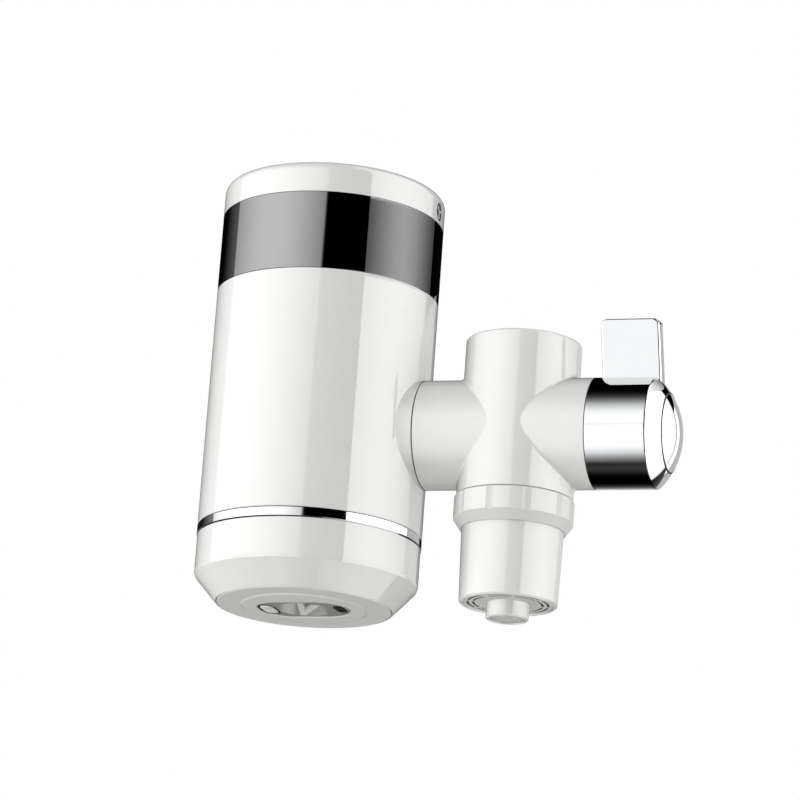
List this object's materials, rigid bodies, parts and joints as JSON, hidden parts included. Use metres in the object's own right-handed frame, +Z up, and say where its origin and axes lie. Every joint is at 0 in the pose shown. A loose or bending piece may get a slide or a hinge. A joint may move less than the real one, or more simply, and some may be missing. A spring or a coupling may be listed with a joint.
{
  "type": "electric instant water heater tap",
  "caption": "Instant water heater that screws on to a kitchen spout: a white round heater with a black band beside a three-way valve with a chrome lever and a spray outlet.",
  "frame": {"origin": "centre of the mouth of the inlet socket, on the axis of the valve's upright tube", "axes": "+Z up, out of the inlet socket towards the spout; +X along the valve's arms from the heater to the lever; +Y to the back"},
  "size_m": [0.1474, 0.068, 0.1434],
  "materials": {
    "white_shell": "polished white",
    "black_mirror": "black mirror",
    "chrome": "polished",
    "steel": "brushed",
    "zinc_steel": "zinc plated",
    "brass": "machined",
    "nickel_brass": "nickel plated",
    "ceramic_white": "lapped",
    "ceramic_grey": "lapped",
    "black_rubber": "matt",
    "red_silicone": "matt",
    "acetal": "satin",
    "black_nylon": "satin",
    "grey_nylon": "satin",
    "magnet": "ferrite, matt",
    "spring_steel": "drawn wire",
    "circuit_board": "solder mask",
    "relay_black": "satin",
    "lead_red": "wire sleeve"
  },
  "bodies": {
    "valve_and_heater": {"valve_body": "white_shell", "inlet_insert": "brass", "inlet_washer": "black_rubber", "inlet_screen": "steel", "cartridge_seal": "black_rubber", "fixed_disc": "ceramic_white", "cartridge_housing": "acetal", "stem_oring": "black_rubber", "cartridge_nut": "brass", "outlet_collar": "white_shell", "outlet_washer": "black_rubber", "outlet_sleeve": "white_shell", "stream_tube": "acetal", "spray_plate": "white_shell", "stream_nozzle": "white_shell", "nozzle_mesh": "steel", "union_tube": "nickel_brass", "union_orings": "black_rubber", "union_nut": "nickel_brass", "flow_spring": "spring_steel", "spring_clip": "acetal", "reed_switch": "black_nylon", "top_cap": "white_shell", "cap_screws": "zinc_steel", "cable_gland": "grey_nylon", "gland_nut": "grey_nylon", "dark_band": "black_mirror", "heater_housing": "white_shell", "chrome_ring": "chrome", "base_cap": "white_shell", "outlet_rosette": "white_shell", "outlet_grille": "chrome", "outlet_pipe": "acetal", "pipe_oring": "black_rubber", "tank": "steel", "tank_seal": "red_silicone", "tank_lid": "steel", "lid_screws": "zinc_steel", "heating_element": "steel", "element_terminals": "zinc_steel", "element_bushes": "red_silicone", "thermal_cutout": "black_nylon", "terminal_block": "acetal", "terminal_screws": "zinc_steel", "control_board": "circuit_board", "power_relay": "relay_black", "inner_leads": "lead_red"},
    "lever": {"moving_disc": "ceramic_grey", "valve_stem": "brass", "lever_handle": "chrome", "index_cap": "chrome", "handle_screw": "zinc_steel"},
    "piston": {"flow_piston": "acetal", "flow_magnet": "magnet"}
  },
  "joints": [
    {"name": "lever_turn", "type": "hinge", "parent": "valve_and_heater", "child": "lever", "pos_m": [0.0243, 0, -0.0283], "axis": [1, 0, 0], "range_deg": [-97.5, 82.5]},
    {"name": "flow_piston_slide", "type": "slide", "parent": "valve_and_heater", "child": "piston", "axis": [-1, 0, 0], "range_m": [0, 0.004], "stiffness_N_per_m": 400, "springref_m": -0.002, "deforming": ["flow_spring"]}
  ]
}
